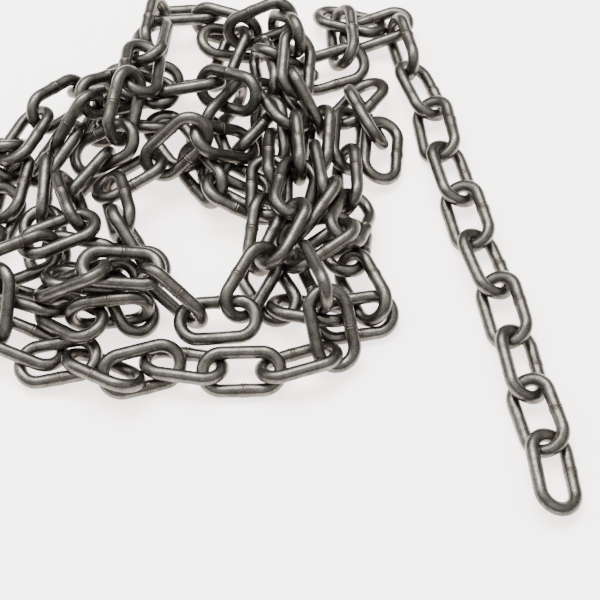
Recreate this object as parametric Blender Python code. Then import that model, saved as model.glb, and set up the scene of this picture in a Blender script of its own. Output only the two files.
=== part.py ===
# A heap of welded steel chain, lying loose on a level floor.
#
# One length of short-link chain is dropped in a heap, with one free end
# drawn out to the side. LAY holds where each link was seen to lie; the
# functions after it close the joints and let the wires bear on one another.

import math

import bmesh
import bpy
import numpy as np
from mathutils import Matrix, Vector

MM = 0.001

# One link, in millimetres
WIRE = 4.0
INSIDE_LENGTH = 19.0
INSIDE_WIDTH = 7.2
CROWN_STEPS = 5
WIRE_BEVEL_RESOLUTION = 1

# The place the links were looked at from, and the height the readings are on
EYE = (0.0, -228.7, 352.2)
READ_HEIGHT = 5.0

# Spacing of wire axes: between links that only touch, and within a pair
# whose bearing is closed
LOOSE_SPACING = 4.16
BEARING_SPACING = 3.3

# Share of its way back to where it was seen that a link goes in each pass
SIGHT_SHARE = 0.06

STEEL_COLOUR = (0.157, 0.150, 0.127)
STEEL_ROUGHNESS = 0.48
STEEL_METALLIC = 0.85

# The lay, link by link from one free end to the other. Each row is the near
# crown of a link, its far crown and its roll: x and y of each crown as seen on
# READ_HEIGHT from EYE, the crown's true height, and the angle in degrees by
# which the left leg is raised, looking from the first crown to the second.
LAY = [
    # the tail, from its free end
    (72.5, -72.6, 4.0, 69.8, -49.0, 4.2, 30),
    (70.5, -54.0, 6.0, 66.2, -31.6, 6.0, -49),
    (67.0, -36.2, 6.0, 63.6, -14.2, 6.0, 38),
    (63.2, -18.3, 6.0, 60.0, 4.4, 6.0, -49),
    (60.7, 0.0, 6.0, 54.0, 21.2, 6.0, 42),
    (54.8, 16.8, 6.0, 50.9, 39.5, 6.0, -49),
    (51.7, 34.8, 6.0, 46.5, 56.8, 6.0, 40),
    (46.1, 52.3, 6.0, 43.8, 75.2, 6.0, -49),
    (45.0, 69.7, 6.0, 37.0, 92.4, 7.0, 40),
    (37.6, 87.3, 5.0, 32.8, 113.6, 10.0, -80),
    # the top right
    (37.2, 113.5, 6.0, 16.0, 104.4, 5.0, -10),
    (28.0, 110.3, 5.0, 7.2, 116.0, 5.0, 23),
    (13.8, 117.6, 10.0, 15.4, 93.0, 6.0, 67),
    (23.3, 95.6, 6.0, 1.1, 89.8, 6.0, -22),
    (7.7, 91.0, 4.0, -15.0, 91.0, 12.0, 28),
    (-15.5, 104.5, 7.0, -14.5, 82.0, 7.0, 63),
    # down to the ring
    (-17.5, 79.0, 9.0, 4.5, 63.5, 9.0, -45),
    (0.0, 66.0, 10.0, -1.0, 43.0, 10.0, -70),
    (1.4, 47.0, 11.0, -5.6, 24.3, 10.0, 40),
    (0.0, 30.5, 15.0, -12.3, 3.0, 4.5, 50),
    (-8.3, 8.9, 8.0, -22.0, -13.4, 3.5, -42),
    # the ring's lower side
    (-14.3, -11.2, 6.0, -35.2, -11.7, 6.0, -30),
    (-30.5, -10.5, 6.0, -48.0, 6.8, 9.0, -80),
    (-44.3, 7.5, 9.5, -65.7, 8.5, 9.0, -30),
    # the left, low
    (-58.5, 4.5, 9.0, -80.5, 5.5, 4.0, 5),
    (-79.0, 3.5, 4.0, -56.0, 2.0, 5.0, -25),
    (-48.0, 10.0, 4.0, -47.0, -10.0, 8.0, 10),
    (-45.2, -8.2, 5.0, -69.0, -10.2, 5.0, -30),
    (-56.5, -16.2, 8.0, -75.0, -4.0, 3.0, 5),
    (-71.0, -7.0, 5.0, -92.0, 0.0, 5.0, 40),
    # past the left edge
    (-90.0, 0.0, 3.0, -111.0, 8.0, 3.0, -10),
    (-108.0, 4.0, 4.0, -114.0, 26.0, 4.0, 40),
    (-114.0, 21.0, 4.0, -93.0, 20.0, 3.5, -20),
    (-99.3, 17.0, 5.0, -95.2, 38.7, 6.0, 45),
    (-93.0, 29.0, 5.0, -88.0, 49.0, 6.0, -75),
    (-88.0, 46.0, 3.0, -110.0, 56.0, 3.0, 20),
    (-114.0, 60.0, 5.0, -92.5, 54.0, 7.0, -30),
    # the upper left
    (-99.0, 50.0, 8.0, -85.5, 68.0, 7.0, -45),
    (-90.3, 66.2, 6.0, -72.7, 79.3, 6.0, 32),
    (-76.3, 78.7, 5.0, -54.0, 82.7, 5.0, -26),
    (-38.0, 81.0, 4.0, -59.0, 79.0, 4.0, -40),
    (-64.5, 83.0, 4.0, -67.6, 61.5, 4.0, 40),
    (-64.5, 69.2, 4.5, -42.0, 67.5, 7.0, -13),
    # middle, low
    (-43.0, 69.0, 3.0, -32.0, 48.0, 2.6, 8),
    (-31.0, 52.5, 4.2, -20.5, 33.0, 4.2, 22),
    (-24.0, 38.5, 6.0, -3.0, 29.0, 5.0, -42),
    (-8.0, 32.0, 2.6, -25.0, 48.5, 2.6, 20),
    (-28.0, 47.5, 2.6, -33.0, 68.0, 2.6, -20),
    (-31.0, 67.0, 5.0, -10.0, 79.0, 9.0, 20),
    # the crest
    (-12.0, 77.8, 15.0, -34.1, 76.8, 11.0, -38),
    (-28.6, 87.6, 13.0, -49.0, 81.0, 12.0, 10),
    (-45.3, 77.5, 9.0, -64.7, 89.2, 11.0, -38),
    (-53.0, 86.5, 10.0, -71.0, 66.5, 7.5, -45),
    (-71.8, 77.0, 13.0, -77.8, 50.0, 5.0, -45),
    (-72.0, 61.5, 9.0, -87.3, 45.3, 8.0, 40),
    (-83.5, 53.5, 14.0, -79.0, 26.0, 5.0, 80),
    # the left, low
    (-83.3, 28.8, 4.0, -76.5, 8.0, 4.0, -30),
    (-77.5, 12.0, 3.5, -57.5, 13.0, 3.0, 30),
    (-65.0, 11.5, 2.1, -45.5, 7.0, 2.1, 0),
    (-46.5, 8.5, 4.0, -59.5, 24.0, 6.0, 12),
    (-56.0, 17.5, 7.0, -63.0, 41.0, 9.0, -75),
    # the ring's upper side
    (-65.0, 33.0, 9.0, -46.8, 47.5, 9.0, -30),
    (-51.5, 44.5, 6.0, -33.3, 58.5, 10.0, 50),
    (-36.3, 58.5, 11.0, -15.9, 59.5, 11.0, -70),
    (-16.5, 55.5, 6.6, -16.0, 77.5, 6.6, -60),
    (-13.0, 72.5, 9.0, -8.2, 52.8, 8.0, 25),
    (-7.0, 61.3, 8.0, -9.0, 41.5, 8.0, -80),
    (-9.0, 46.8, 6.0, -8.7, 26.2, 6.0, -28),
    # the ring's right side
    (-9.3, 33.3, 11.0, -12.0, 10.2, 6.0, -56),
    (-17.0, 8.0, 4.0, -4.0, -13.0, 3.0, 30),
    (-7.2, -5.8, 4.0, 14.5, -9.2, 4.0, -30),
    (5.0, -11.5, 5.0, 27.3, -7.8, 4.0, 35),
    (22.5, -7.0, 5.0, 12.2, 12.0, 7.0, -50),
    # right of the ring
    (13.5, 7.3, 5.0, 13.8, 27.0, 4.0, 30),
    (16.3, 22.0, 2.6, -5.0, 20.0, 2.6, 0),
    (-0.5, 20.5, 8.0, 6.5, 40.5, 9.0, -50),
    (3.5, 34.5, 14.0, 1.5, 51.5, 6.0, 40),
    (5.0, 47.0, 4.0, 7.0, 68.0, 6.0, -30),
    # the top
    (5.5, 66.0, 6.0, -5.5, 84.0, 7.0, 40),
    (-4.5, 78.0, 11.0, -3.3, 101.0, 11.0, 0),
    (-3.0, 97.0, 8.0, -9.0, 115.0, 4.0, 60),
    (-3.0, 114.6, 8.0, -22.0, 102.2, 9.0, -25),
    (-20.0, 107.0, 8.0, -29.0, 82.0, 7.0, 40),
    (-35.6, 101.2, 5.0, -13.3, 99.4, 5.0, -30),
    (-13.4, 106.0, 6.0, -36.0, 114.6, 5.0, 40),
    (-28.3, 114.6, 4.0, -50.5, 115.5, 4.0, -3),
    (-49.8, 121.0, 9.0, -49.4, 98.0, 6.0, -60),
    (-52.5, 111.5, 4.0, -54.5, 89.5, 4.0, 10),
    (-50.5, 99.5, 13.0, -52.5, 79.0, 15.0, 5),
    # the left slope
    (-60.0, 85.0, 17.0, -58.5, 54.5, 7.0, -46),
    (-52.5, 58.5, 5.0, -73.5, 49.5, 5.0, -33),
    (-60.5, 52.5, 8.0, -72.0, 34.5, 9.0, 80),
    (-75.5, 41.7, 6.0, -69.0, 19.5, 8.0, -55),
    (-63.8, 22.8, 8.0, -85.0, 12.7, 8.0, 20),
    (-73.8, 15.3, 7.5, -94.4, 4.9, 6.0, -45),
    (-90.3, 6.6, 10.0, -95.0, -15.8, 6.0, 30),
    # the front row
    (-93.0, -15.0, 5.0, -70.0, -23.5, 5.0, -35),
    (-83.0, -27.5, 4.0, -61.1, -20.4, 5.0, -3),
    (-66.5, -22.2, 8.0, -47.6, -34.4, 4.0, -36),
    (-58.1, -28.5, 6.0, -35.8, -23.3, 6.0, 68),
    (-46.0, -24.5, 5.0, -23.4, -27.6, 5.0, -27),
    (-28.6, -28.9, 5.0, -6.4, -28.1, 5.0, 50),
    (-10.8, -28.7, 5.0, 10.8, -21.3, 5.0, -27),
    # the right slope
    (12.0, -26.0, 4.0, 8.0, 0.0, 9.0, 10),
    (7.7, -5.5, 9.0, -1.5, 15.5, 9.0, 80),
    (-4.0, 13.2, 9.0, 14.8, 23.1, 9.0, -12),
    (8.0, 17.5, 12.0, 11.5, 34.7, 5.0, 50),
    (12.1, 30.2, 5.0, 13.8, 52.0, 6.0, -50),
    (13.3, 47.3, 5.0, 15.0, 72.4, 9.0, 52),
    (14.6, 66.0, 5.0, 25.0, 83.3, 5.0, -30),
    # the other free end
    (16.8, 80.5, 9.0, 26.6, 58.5, 3.5, -70),
    (27.5, 67.8, 7.0, 24.0, 42.7, 3.0, 0),
]

# Counted from 0: the hidden link that leans on the floor on its lower leg
LEANING_LINKS = [64]

ORDER_PASSES = 200
REFIT_PASSES = 150
GROW_PASSES = 160
SETTLE_PASSES = 250
REST_PASSES = 600

RADIUS = WIRE / 2
CROWN = INSIDE_WIDTH / 2 + RADIUS
HALF_LEG = INSIDE_LENGTH / 2 + RADIUS - CROWN
REACH = HALF_LEG + CROWN

# Where each link is held to its reading: both crowns and both legs
HOLDS = ((-REACH, 0.0), (REACH, 0.0), (0.0, -CROWN), (0.0, CROWN))

# A link that leans on its lower leg rests there on one flat of its six-sided
# wire, whose section the bend into the crowns narrows a little
NARROWED = math.cos(math.pi / CROWN_STEPS / 4)
FLAT_TILT = math.atan(NARROWED * math.tan(math.radians(30)))
LEAN_RISE = round(math.cos(FLAT_TILT), 9)
LEAN_SPREAD = round(math.sin(FLAT_TILT), 9)
# It goes down as far as the lower edges of the other six-sided wires do
LEAN_DROP = 0.15
LEAN_HEIGHT = round((RADIUS * NARROWED + CROWN) * math.cos(FLAT_TILT) - LEAN_DROP, 7)
FLOOR_LEVEL = RADIUS + 0.06

# How readily a link turns about its length, across its legs and in its plane
TURN = (25.0, 72.0, 96.0)


def dot(a, b):
    return a[..., 0] * b[..., 0] + a[..., 1] * b[..., 1] + a[..., 2] * b[..., 2]


def cross(a, b):
    return np.stack([a[..., 1] * b[..., 2] - a[..., 2] * b[..., 1],
                     a[..., 2] * b[..., 0] - a[..., 0] * b[..., 2],
                     a[..., 0] * b[..., 1] - a[..., 1] * b[..., 0]], axis=-1)


def unit(a):
    return a / np.sqrt(dot(a, a))[..., None]


def link_outline(steps):
    # The wire's axis: two half circles joined by straight legs
    points = []
    for end in (1, -1):
        for k in range(steps + 1):
            turn = math.pi * (k / steps - 0.5)
            points.append((end * (HALF_LEG + CROWN * math.cos(turn)), end * CROWN * math.sin(turn)))
    return np.round(np.array(points), 9)


def read_lay(rows):
    # Turns seen places and heights into centres, long axes and leg directions.
    # No crown is lower than the roll of its link allows on the floor
    rows = np.array(rows, float)
    eye = np.array(EYE)
    roll = np.radians(rows[:, 6])
    level, steep = np.round(np.cos(roll), 9), np.round(np.sin(roll), 9)
    lowest = FLOOR_LEVEL + CROWN * np.abs(steep)
    ends = []
    for k in (0, 3):
        seen = rows[:, k:k + 3].copy()
        height = np.maximum(seen[:, 2], lowest)
        seen[:, 2] = READ_HEIGHT
        share = (height - eye[2]) / (READ_HEIGHT - eye[2])
        ends.append(eye + (seen - eye) * share[:, None])
    centre = (ends[0] + ends[1]) / 2
    axis = unit(ends[1] - ends[0])
    left = unit(cross(np.array([0.0, 0.0, 1.0]), axis))
    side = level[:, None] * left + steep[:, None] * cross(axis, left)
    return np.round(centre, 7), np.round(axis, 9), np.round(unit(side), 9)


def closest(p, u, q, v):
    # Nearest points of the segments p to p+u and q to q+v, as shares of each
    w = p - q
    a = dot(u, u)
    b = dot(u, v)
    c = dot(v, v)
    d = dot(u, w)
    e = dot(v, w)
    den = a * c - b * b
    s = np.where(den > 1e-9, (b * e - c * d) / np.where(den > 1e-9, den, 1.0), 0.0)
    s = np.minimum(np.maximum(s, 0.0), 1.0)
    t = np.minimum(np.maximum((b * s + e) / c, 0.0), 1.0)
    s = np.minimum(np.maximum((b * t - d) / a, 0.0), 1.0)
    return s, t


class Heap:
    # Rigid links, each with a centre, a long axis and a direction across its legs

    def __init__(self, rows, leaning):
        self.centre, self.axis, self.side = read_lay(rows)
        self.count = len(self.centre)
        self.leaning = leaning
        self.outline = link_outline(CROWN_STEPS)
        step = np.roll(self.outline, -1, axis=0) - self.outline
        self.half_step = np.sqrt(step[:, 0] ** 2 + step[:, 1] ** 2) / 2
        self.mate = np.arange(self.count) ^ 1
        self.above = np.zeros((self.count, self.count))
        self.passes = 0
        self.sight = []
        for along, across in HOLDS:
            spot = self.centre + along * self.axis + across * self.side
            self.sight.append(np.round(unit(spot - np.array(EYE)), 12))

    def wire_points(self):
        return (self.centre[:, None] + self.outline[None, :, 0, None] * self.axis[:, None]
                + self.outline[None, :, 1, None] * self.side[:, None])

    def find_near(self, margin):
        i, j = np.triu_indices(self.count, 1)
        d = self.centre[i] - self.centre[j]
        near = dot(d, d) < (2 * REACH + margin) ** 2
        i, j = i[near], j[near]
        pts = self.wire_points()
        middle = (pts + np.roll(pts, -1, axis=1)) / 2
        gap = middle[i][:, :, None] - middle[j][:, None]
        limit = self.half_step[None, :, None] + self.half_step[None, None] + margin
        pair, a, b = np.nonzero(dot(gap, gap) < limit * limit)
        self.near = (i[pair], a, j[pair], b)

    def contacts(self, spacing):
        if self.passes % 8 == 0:
            self.find_near(spacing + 3.0)
        self.passes += 1
        i, a, j, b = self.near
        pts = self.wire_points()
        after = np.roll(pts, -1, axis=1)
        p = pts[i, a]
        q = pts[j, b]
        u = after[i, a] - p
        v = after[j, b] - q
        s, t = closest(p, u, q, v)
        x = p + s[:, None] * u
        y = q + t[:, None] * v
        d = x - y
        gap = np.sqrt(dot(d, d))
        keep = gap < spacing
        return i[keep], j[keep], x[keep], y[keep], d[keep], gap[keep]

    def ease(self, i, arm, way):
        # How far a link gives at the end of an arm for one unit of push
        lever = cross(arm, way)
        across = cross(self.axis[i], self.side[i])
        return (1.0 + dot(lever, self.axis[i]) ** 2 / TURN[0] + dot(lever, self.side[i]) ** 2 / TURN[1]
                + dot(lever, across) ** 2 / TURN[2])

    def sum_up(self, i, vectors):
        columns = [np.bincount(i, weights=vectors[:, k], minlength=self.count) for k in range(3)]
        return np.stack(columns, axis=1)

    def apply(self, groups, share):
        move = np.zeros((self.count, 3))
        turn = np.zeros((self.count, 3))
        number = np.zeros(self.count)
        for i, arm, push in groups:
            lever = cross(arm, push)
            u, s = self.axis[i], self.side[i]
            n = cross(u, s)
            spin = (dot(lever, u)[:, None] * u / TURN[0] + dot(lever, s)[:, None] * s / TURN[1]
                    + dot(lever, n)[:, None] * n / TURN[2])
            move += self.sum_up(i, push)
            turn += self.sum_up(i, spin)
            number += np.bincount(i, minlength=self.count)
        number = np.maximum(number, 1.0)[:, None]
        move = share * move / number
        turn = share * turn / number
        self.centre = self.centre + move
        self.axis = self.axis + cross(turn, self.axis)
        self.side = self.side + cross(turn, self.side)
        self.centre[self.leaning, 2] = LEAN_HEIGHT
        self.axis[self.leaning, 2] = 0.0
        self.centre = np.round(self.centre, 7)
        self.axis = unit(self.axis)
        self.side = self.side - dot(self.side, self.axis)[:, None] * self.axis
        self.side = unit(self.side)
        self.lean()
        self.side = np.round(self.side, 9)
        self.axis = np.round(self.axis, 9)

    def lean(self):
        # Turns a leaning link about its level length until the flat is down
        axis = self.axis[self.leaning]
        side = self.side[self.leaning]
        left = cross(np.array([0.0, 0.0, 1.0]), axis)
        level = np.where(dot(side, left) < 0, -LEAN_SPREAD, LEAN_SPREAD)
        self.side[self.leaning] = level[:, None] * left
        self.side[self.leaning, 2] = np.where(side[:, 2] < 0, -LEAN_RISE, LEAN_RISE)

    def pair_push(self, i, j, x, y, way, amount, share):
        # Moves two links apart by an amount along a way, at points x and y
        arm_i = x - self.centre[i]
        arm_j = y - self.centre[j]
        size = amount / (self.ease(i, arm_i, way) + self.ease(j, arm_j, way))
        push = size[:, None] * way
        self.apply([(i, arm_i, push), (j, arm_j, -push)], share)

    def part_wires(self, loose, bearing):
        # Parts wires that lie too close, and lifts what is below the floor
        i, j, x, y, d, gap = self.contacts(max(loose, bearing))
        wanted = np.where(self.mate[i] == j, bearing, loose)
        keep = gap < wanted
        i, j, x, y, d, gap, wanted = i[keep], j[keep], x[keep], y[keep], d[keep], gap[keep], wanted[keep]
        way = d / np.maximum(gap, 1e-6)[:, None]
        arm_i = x - self.centre[i]
        arm_j = y - self.centre[j]
        size = (wanted - gap) / (self.ease(i, arm_i, way) + self.ease(j, arm_j, way))
        push = size[:, None] * way
        pts = self.wire_points().reshape(-1, 3)
        owner = np.repeat(np.arange(self.count), len(self.outline))
        low = pts[:, 2] < FLOOR_LEVEL
        k = owner[low]
        arm_k = pts[low] - self.centre[k]
        up = np.zeros_like(arm_k)
        up[:, 2] = 1.0
        lift = (FLOOR_LEVEL - pts[low][:, 2]) / self.ease(k, arm_k, up)
        self.apply([(i, arm_i, push), (j, arm_j, -push), (k, arm_k, lift[:, None] * up)], 1.3)

    def close_bearings(self, bearing):
        # Draws the two links of each pair together until their wires bear
        i, j, x, y, d, gap = self.contacts(WIRE + 0.9)
        keep = self.mate[i] == j
        i, j, x, y, d, gap = i[keep], j[keep], x[keep], y[keep], d[keep], gap[keep]
        order = np.lexsort((gap, i))
        i, j, x, y, d, gap = i[order], j[order], x[order], y[order], d[order], gap[order]
        first = np.ones(len(i), bool)
        first[1:] = i[1:] != i[:-1]
        first &= gap > bearing
        i, j, x, y, d, gap = i[first], j[first], x[first], y[first], d[first], gap[first]
        way = d / np.maximum(gap, 1e-6)[:, None]
        self.pair_push(i, j, x, y, way, bearing - gap, 0.5)

    def hold_to_sight(self, share):
        eye = np.array(EYE)
        groups = []
        for (along, across), ray in zip(HOLDS, self.sight):
            arm = along * self.axis + across * self.side
            spot = self.centre + arm - eye
            off = dot(spot, ray)[:, None] * ray - spot
            far = np.maximum(np.sqrt(dot(off, off)), 1e-9)
            way = off / far[:, None]
            i = np.arange(self.count)
            size = share * far / self.ease(i, arm, way)
            groups.append((i, arm, size[:, None] * way))
        self.apply(groups, 1.0)

    def join_followers(self, span, slack, share):
        # Brings the middle line of each link to that of the next, end to end
        i = np.arange(self.count - 1)
        j = i + 1
        length = span[1] - span[0]
        p = self.centre[i] + span[0] * self.axis[i]
        q = self.centre[j] - span[0] * self.axis[j]
        s, t = closest(p, length * self.axis[i], q, -length * self.axis[j])
        x = p + s[:, None] * length * self.axis[i]
        y = q - t[:, None] * length * self.axis[j]
        d = x - y
        gap = np.sqrt(dot(d, d))
        far = gap > slack
        i, j, x, y, d, gap = i[far], j[far], x[far], y[far], d[far], gap[far]
        self.pair_push(i, j, x, y, d / gap[:, None], share * (slack - gap), 1.0)

    def order_crossings(self, margin, share):
        # Where two links cross in plan, one goes over the other; followers
        # go once over and once under, so that they are linked
        i, j = np.triu_indices(self.count, 1)
        d = self.centre[i] - self.centre[j]
        near = d[:, 0] ** 2 + d[:, 1] ** 2 < (2 * REACH) ** 2
        i, j = i[near], j[near]
        pts = self.wire_points()
        step = np.roll(pts, -1, axis=1) - pts
        p, u = pts[i][:, :, None], step[i][:, :, None]
        q, v = pts[j][:, None], step[j][:, None]
        den = u[..., 0] * v[..., 1] - u[..., 1] * v[..., 0]
        wx = q[..., 0] - p[..., 0]
        wy = q[..., 1] - p[..., 1]
        safe = np.where(np.abs(den) > 1e-12, den, 1.0)
        s = (wx * v[..., 1] - wy * v[..., 0]) / safe
        t = (wx * u[..., 1] - wy * u[..., 0]) / safe
        hit = (np.abs(den) > 1e-12) & (s >= 0) & (s < 1) & (t >= 0) & (t < 1)
        pair, a, b = np.nonzero(hit)
        i, j = i[pair], j[pair]
        s, t, den = s[hit], t[hit], den[hit]
        x = pts[i, a] + s[:, None] * step[i, a]
        y = pts[j, b] + t[:, None] * step[j, b]
        rise = x[:, 2] - y[:, 2]
        over = np.where(rise >= 0, 1.0, -1.0)
        kind, which = np.unique(i * self.count + j, return_inverse=True)
        total = np.bincount(which, weights=rise)
        first, second = kind // self.count, kind % self.count
        new = self.above[first, second] == 0
        self.above[first[new], second[new]] = np.where(total[new] >= 0, 1.0, -1.0)
        linked = np.bincount(which, weights=np.where(den * rise > 0, 0.5, -0.5))[which]
        follows = j == i + 1
        order = np.lexsort((np.abs(rise), which))
        lead = np.zeros(len(i), bool)
        starts = np.ones(len(order), bool)
        starts[1:] = which[order][1:] != which[order][:-1]
        lead[order[starts]] = True
        flip = follows & lead & (np.abs(linked) != 1)
        over = np.where(follows, np.where(flip, -over, over), self.above[i, j])
        amiss = np.where(follows, np.abs(linked) != 1, np.abs(linked) > 0.5)
        short = margin - over * rise
        for push in (short > 0, (short > 0) & amiss):
            way = np.zeros((int(push.sum()), 3))
            way[:, 2] = over[push]
            self.pair_push(i[push], j[push], x[push], y[push], way, share * short[push], 1.0)

    def lift_to_floor(self):
        low = np.minimum(self.wire_points()[..., 2].min(axis=1) - RADIUS, 0)
        self.centre[:, 2] -= low * 0.5

    def sink(self, drop):
        self.centre[:, 2] -= drop


def lay_heap(rows, leaning):
    heap = Heap(rows, leaning)
    for k in range(ORDER_PASSES):
        heap.join_followers((2.0, 9.0), 2.5, 0.4)
        heap.hold_to_sight(0.04)
        heap.order_crossings(2.5 if k > ORDER_PASSES // 3 else 1.0, 1.0)
        heap.lift_to_floor()
    for k in range(REFIT_PASSES):
        heap.join_followers((2.0, 9.0), 3.0, 0.3)
        heap.hold_to_sight(0.12)
        heap.order_crossings(3.0, 1.0)
        heap.lift_to_floor()
    for k in range(GROW_PASSES):
        spacing = 1.0 + (LOOSE_SPACING - 1.0) * min(k / 120, 1)
        heap.join_followers((2.0, 9.0), 3.0, 0.2)
        heap.hold_to_sight(SIGHT_SHARE)
        if k < GROW_PASSES // 2:
            heap.order_crossings(2.5, 0.5)
        heap.sink(0.01)
        heap.part_wires(spacing, min(spacing, BEARING_SPACING))
    for k in range(SETTLE_PASSES):
        heap.sink(0.02)
        heap.hold_to_sight(SIGHT_SHARE * 0.7)
        heap.close_bearings(BEARING_SPACING)
        heap.part_wires(LOOSE_SPACING, BEARING_SPACING)
        heap.part_wires(LOOSE_SPACING, BEARING_SPACING)
    for k in range(REST_PASSES):
        if k < REST_PASSES - 60:
            heap.close_bearings(BEARING_SPACING)
        heap.part_wires(LOOSE_SPACING, BEARING_SPACING)
    return heap


def clear_scene():
    for item in list(bpy.data.objects):
        bpy.data.objects.remove(item, do_unlink=True)


def make_steel():
    steel = bpy.data.materials.new("chain_steel")
    steel.use_nodes = True
    shader = steel.node_tree.nodes["Principled BSDF"]
    shader.inputs["Base Color"].default_value = (*STEEL_COLOUR, 1.0)
    shader.inputs["Metallic"].default_value = STEEL_METALLIC
    shader.inputs["Roughness"].default_value = STEEL_ROUGHNESS
    return steel


def make_link_mesh(steel):
    # One closed ring of six-sided wire, with flats on the faces of the link
    curve = bpy.data.curves.new("link_wire", "CURVE")
    curve.dimensions = "3D"
    curve.fill_mode = "FULL"
    curve.bevel_depth = RADIUS * MM
    curve.bevel_resolution = WIRE_BEVEL_RESOLUTION
    outline = link_outline(CROWN_STEPS)
    spline = curve.splines.new("POLY")
    spline.points.add(len(outline) - 1)
    for point, (x, y) in zip(spline.points, outline):
        point.co = (x * MM, y * MM, 0.0, 1.0)
    spline.use_cyclic_u = True
    guide = bpy.data.objects.new("link_wire", curve)
    bpy.context.scene.collection.objects.link(guide)
    bpy.context.view_layer.update()
    evaluated = guide.evaluated_get(bpy.context.evaluated_depsgraph_get())
    mesh = bpy.data.meshes.new_from_object(evaluated)
    bpy.data.objects.remove(guide, do_unlink=True)
    shape = bmesh.new()
    shape.from_mesh(mesh)
    bmesh.ops.remove_doubles(shape, verts=shape.verts, dist=1e-6)
    bmesh.ops.recalc_face_normals(shape, faces=shape.faces)
    shape.to_mesh(mesh)
    shape.free()
    mesh.name = "chain_link"
    mesh.materials.clear()
    mesh.materials.append(steel)
    mesh.shade_smooth()
    mesh.set_sharp_from_angle(angle=math.radians(70))
    return mesh


def pose_of(heap, k):
    u = Vector(heap.axis[k])
    s = Vector(heap.side[k])
    pose = Matrix((u, s, u.cross(s))).transposed().to_4x4()
    pose.translation = Vector(heap.centre[k]) * MM
    return pose


def place(name, mesh, pose, home, collection):
    item = bpy.data.objects.new(name, mesh)
    collection.objects.link(item)
    item.parent = home
    item.rotation_mode = "QUATERNION"
    item.location = pose.to_translation()
    item.rotation_quaternion = pose.to_quaternion()
    return item


def box_foot(mesh, poses):
    # Middle of the heap's box, at its lowest point
    low = Vector((1e9, 1e9, 1e9))
    high = -low
    for pose in poses:
        for vertex in mesh.vertices:
            spot = pose @ vertex.co
            for k in range(3):
                low[k] = min(low[k], spot[k])
                high[k] = max(high[k], spot[k])
    return Vector(((low.x + high.x) / 2, (low.y + high.y) / 2, low.z))


def main():
    clear_scene()
    parts = bpy.data.collections.new("steel_chain_heap")
    cutters = bpy.data.collections.new("joining_links")
    bpy.context.scene.collection.children.link(parts)
    bpy.context.scene.collection.children.link(cutters)

    heap = lay_heap(LAY, LEANING_LINKS)
    steel = make_steel()
    mesh = make_link_mesh(steel)
    poses = [pose_of(heap, k) for k in range(heap.count)]

    home = bpy.data.objects.new("heap_home", None)
    parts.objects.link(home)
    foot = box_foot(mesh, poses)
    home.location = (-round(foot.x, 7), -round(foot.y, 7), -round(foot.z, 7))

    # Two links that bear on one another make one solid
    for k in range(0, heap.count, 2):
        number = k // 2 + 1
        first = place(f"link_pair_{number:02d}", mesh, poses[k], home, parts)
        second = place(f"link_mate_{number:02d}", mesh, poses[k + 1], home, cutters)
        second.hide_render = True
        second.display_type = "WIRE"
        join = first.modifiers.new("bearing", "BOOLEAN")
        join.operation = "UNION"
        join.solver = "EXACT"
        join.object = second


main()
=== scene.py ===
import math
import random

import bpy
import numpy as np
from mathutils import Matrix, Vector


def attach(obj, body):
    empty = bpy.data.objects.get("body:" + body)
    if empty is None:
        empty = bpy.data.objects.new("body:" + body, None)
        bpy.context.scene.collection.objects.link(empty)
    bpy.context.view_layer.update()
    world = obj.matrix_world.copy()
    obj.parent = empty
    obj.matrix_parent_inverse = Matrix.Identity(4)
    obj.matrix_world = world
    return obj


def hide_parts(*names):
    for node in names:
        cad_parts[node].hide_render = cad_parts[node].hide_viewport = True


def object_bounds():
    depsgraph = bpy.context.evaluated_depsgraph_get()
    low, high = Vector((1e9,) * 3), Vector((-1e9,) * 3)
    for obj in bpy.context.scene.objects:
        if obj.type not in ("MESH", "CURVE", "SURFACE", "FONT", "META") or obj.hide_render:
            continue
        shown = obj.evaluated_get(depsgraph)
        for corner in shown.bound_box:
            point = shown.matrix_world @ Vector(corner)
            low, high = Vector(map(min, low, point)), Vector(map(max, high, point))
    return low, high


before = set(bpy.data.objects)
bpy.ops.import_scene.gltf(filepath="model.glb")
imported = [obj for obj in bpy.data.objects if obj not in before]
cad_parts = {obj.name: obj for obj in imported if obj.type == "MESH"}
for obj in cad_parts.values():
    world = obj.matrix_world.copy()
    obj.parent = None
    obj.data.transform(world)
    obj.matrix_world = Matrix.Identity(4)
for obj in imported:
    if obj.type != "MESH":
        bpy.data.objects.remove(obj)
cadLow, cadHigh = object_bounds()
print("frame loaded,", len(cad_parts), "nodes")

mm = 0.001

# one link of 4 mm short-link chain, in millimetres
link = {
    "wire": 4.0,
    "insideLength": 19.0,
    "insideWidth": 7.2,
}

# how the lay is read and let down, the same numbers as in the part
lay = {
    "eye": (0.0, -228.7, 352.2),    # where the readings were taken from
    "readHeight": 5.0,
    "sightShare": 0.06,             # of the way back to where a link was seen, each pass
    "crownSteps": 5,
    "looseSpacing": 4.16,
    "bearingSpacing": 3.3,
}

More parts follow.
